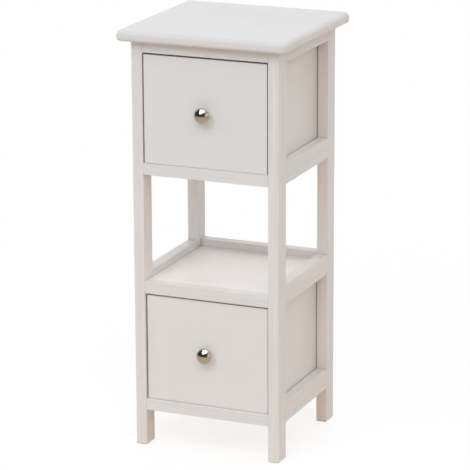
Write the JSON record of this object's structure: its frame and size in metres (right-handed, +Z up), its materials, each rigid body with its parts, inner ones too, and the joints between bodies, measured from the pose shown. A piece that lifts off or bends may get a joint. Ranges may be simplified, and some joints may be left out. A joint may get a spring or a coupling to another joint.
{
  "type": "bathroom storage tower",
  "caption": "Narrow white wooden storage tower on straight legs: a drawer with a metal knob at the top, an open shelf bay with a low gallery lip, and a drawer below.",
  "frame": {"origin": "on the floor, under the middle of the whole object's outline with the drawers closed", "axes": "+Z up, the drawer fronts face -Y, +X to the right as seen from the front"},
  "size_m": [0.3, 0.2945, 0.7165],
  "materials": {
    "white_paint": "satin white paint on wood, the grain faintly telegraphing through",
    "bare_wood": "planed bare light wood",
    "plywood": "thin sanded plywood",
    "dowel_beech": "bare beech dowel",
    "polished_nickel": "mirror polished",
    "zinc_steel": "zinc-plated steel"
  },
  "bodies": {
    "frame": {"top_slab": "white_paint", "leg_front_left": "white_paint", "leg_front_right": "white_paint", "leg_rear_left": "white_paint", "leg_rear_right": "white_paint", "front_rail_top": "white_paint", "front_rail_middle": "white_paint", "front_rail_shelf": "white_paint", "front_rail_bottom": "white_paint", "rear_rail_top": "white_paint", "rear_rail_middle": "white_paint", "rear_rail_shelf": "white_paint", "rear_rail_bottom": "white_paint", "left_rail_top": "white_paint", "left_rail_middle": "white_paint", "left_rail_shelf": "white_paint", "left_rail_bottom": "white_paint", "right_rail_top": "white_paint", "right_rail_middle": "white_paint", "right_rail_shelf": "white_paint", "right_rail_bottom": "white_paint", "shelf_board": "white_paint", "side_panel_upper_left": "white_paint", "side_panel_upper_right": "white_paint", "side_panel_lower_left": "white_paint", "side_panel_lower_right": "white_paint", "back_panel_upper": "white_paint", "back_panel_lower": "white_paint", "runner_upper_left": "bare_wood", "runner_upper_right": "bare_wood", "runner_lower_left": "bare_wood", "runner_lower_right": "bare_wood", "front_rail_dowels": "dowel_beech", "rear_rail_dowels": "dowel_beech", "side_rail_dowels": "dowel_beech", "slab_screws": "zinc_steel", "runner_screws": "zinc_steel", "side_panel_pins": "zinc_steel", "back_panel_pins": "zinc_steel"},
    "upper_drawer": {"upper_drawer_front": "white_paint", "upper_drawer_side_left": "bare_wood", "upper_drawer_side_right": "bare_wood", "upper_drawer_back": "bare_wood", "upper_drawer_bottom": "plywood", "upper_drawer_dowels": "dowel_beech", "upper_drawer_screws": "zinc_steel", "upper_drawer_knob": "polished_nickel", "upper_drawer_knob_screw": "zinc_steel"},
    "lower_drawer": {"lower_drawer_front": "white_paint", "lower_drawer_side_left": "bare_wood", "lower_drawer_side_right": "bare_wood", "lower_drawer_back": "bare_wood", "lower_drawer_bottom": "plywood", "lower_drawer_dowels": "dowel_beech", "lower_drawer_screws": "zinc_steel", "lower_drawer_knob": "polished_nickel", "lower_drawer_knob_screw": "zinc_steel"}
  },
  "joints": [
    {"name": "upper_drawer_slide", "type": "slide", "parent": "frame", "child": "upper_drawer", "axis": [0, -1, 0], "range_m": [0, 0.18]},
    {"name": "lower_drawer_slide", "type": "slide", "parent": "frame", "child": "lower_drawer", "axis": [0, -1, 0], "range_m": [0, 0.18]}
  ]
}
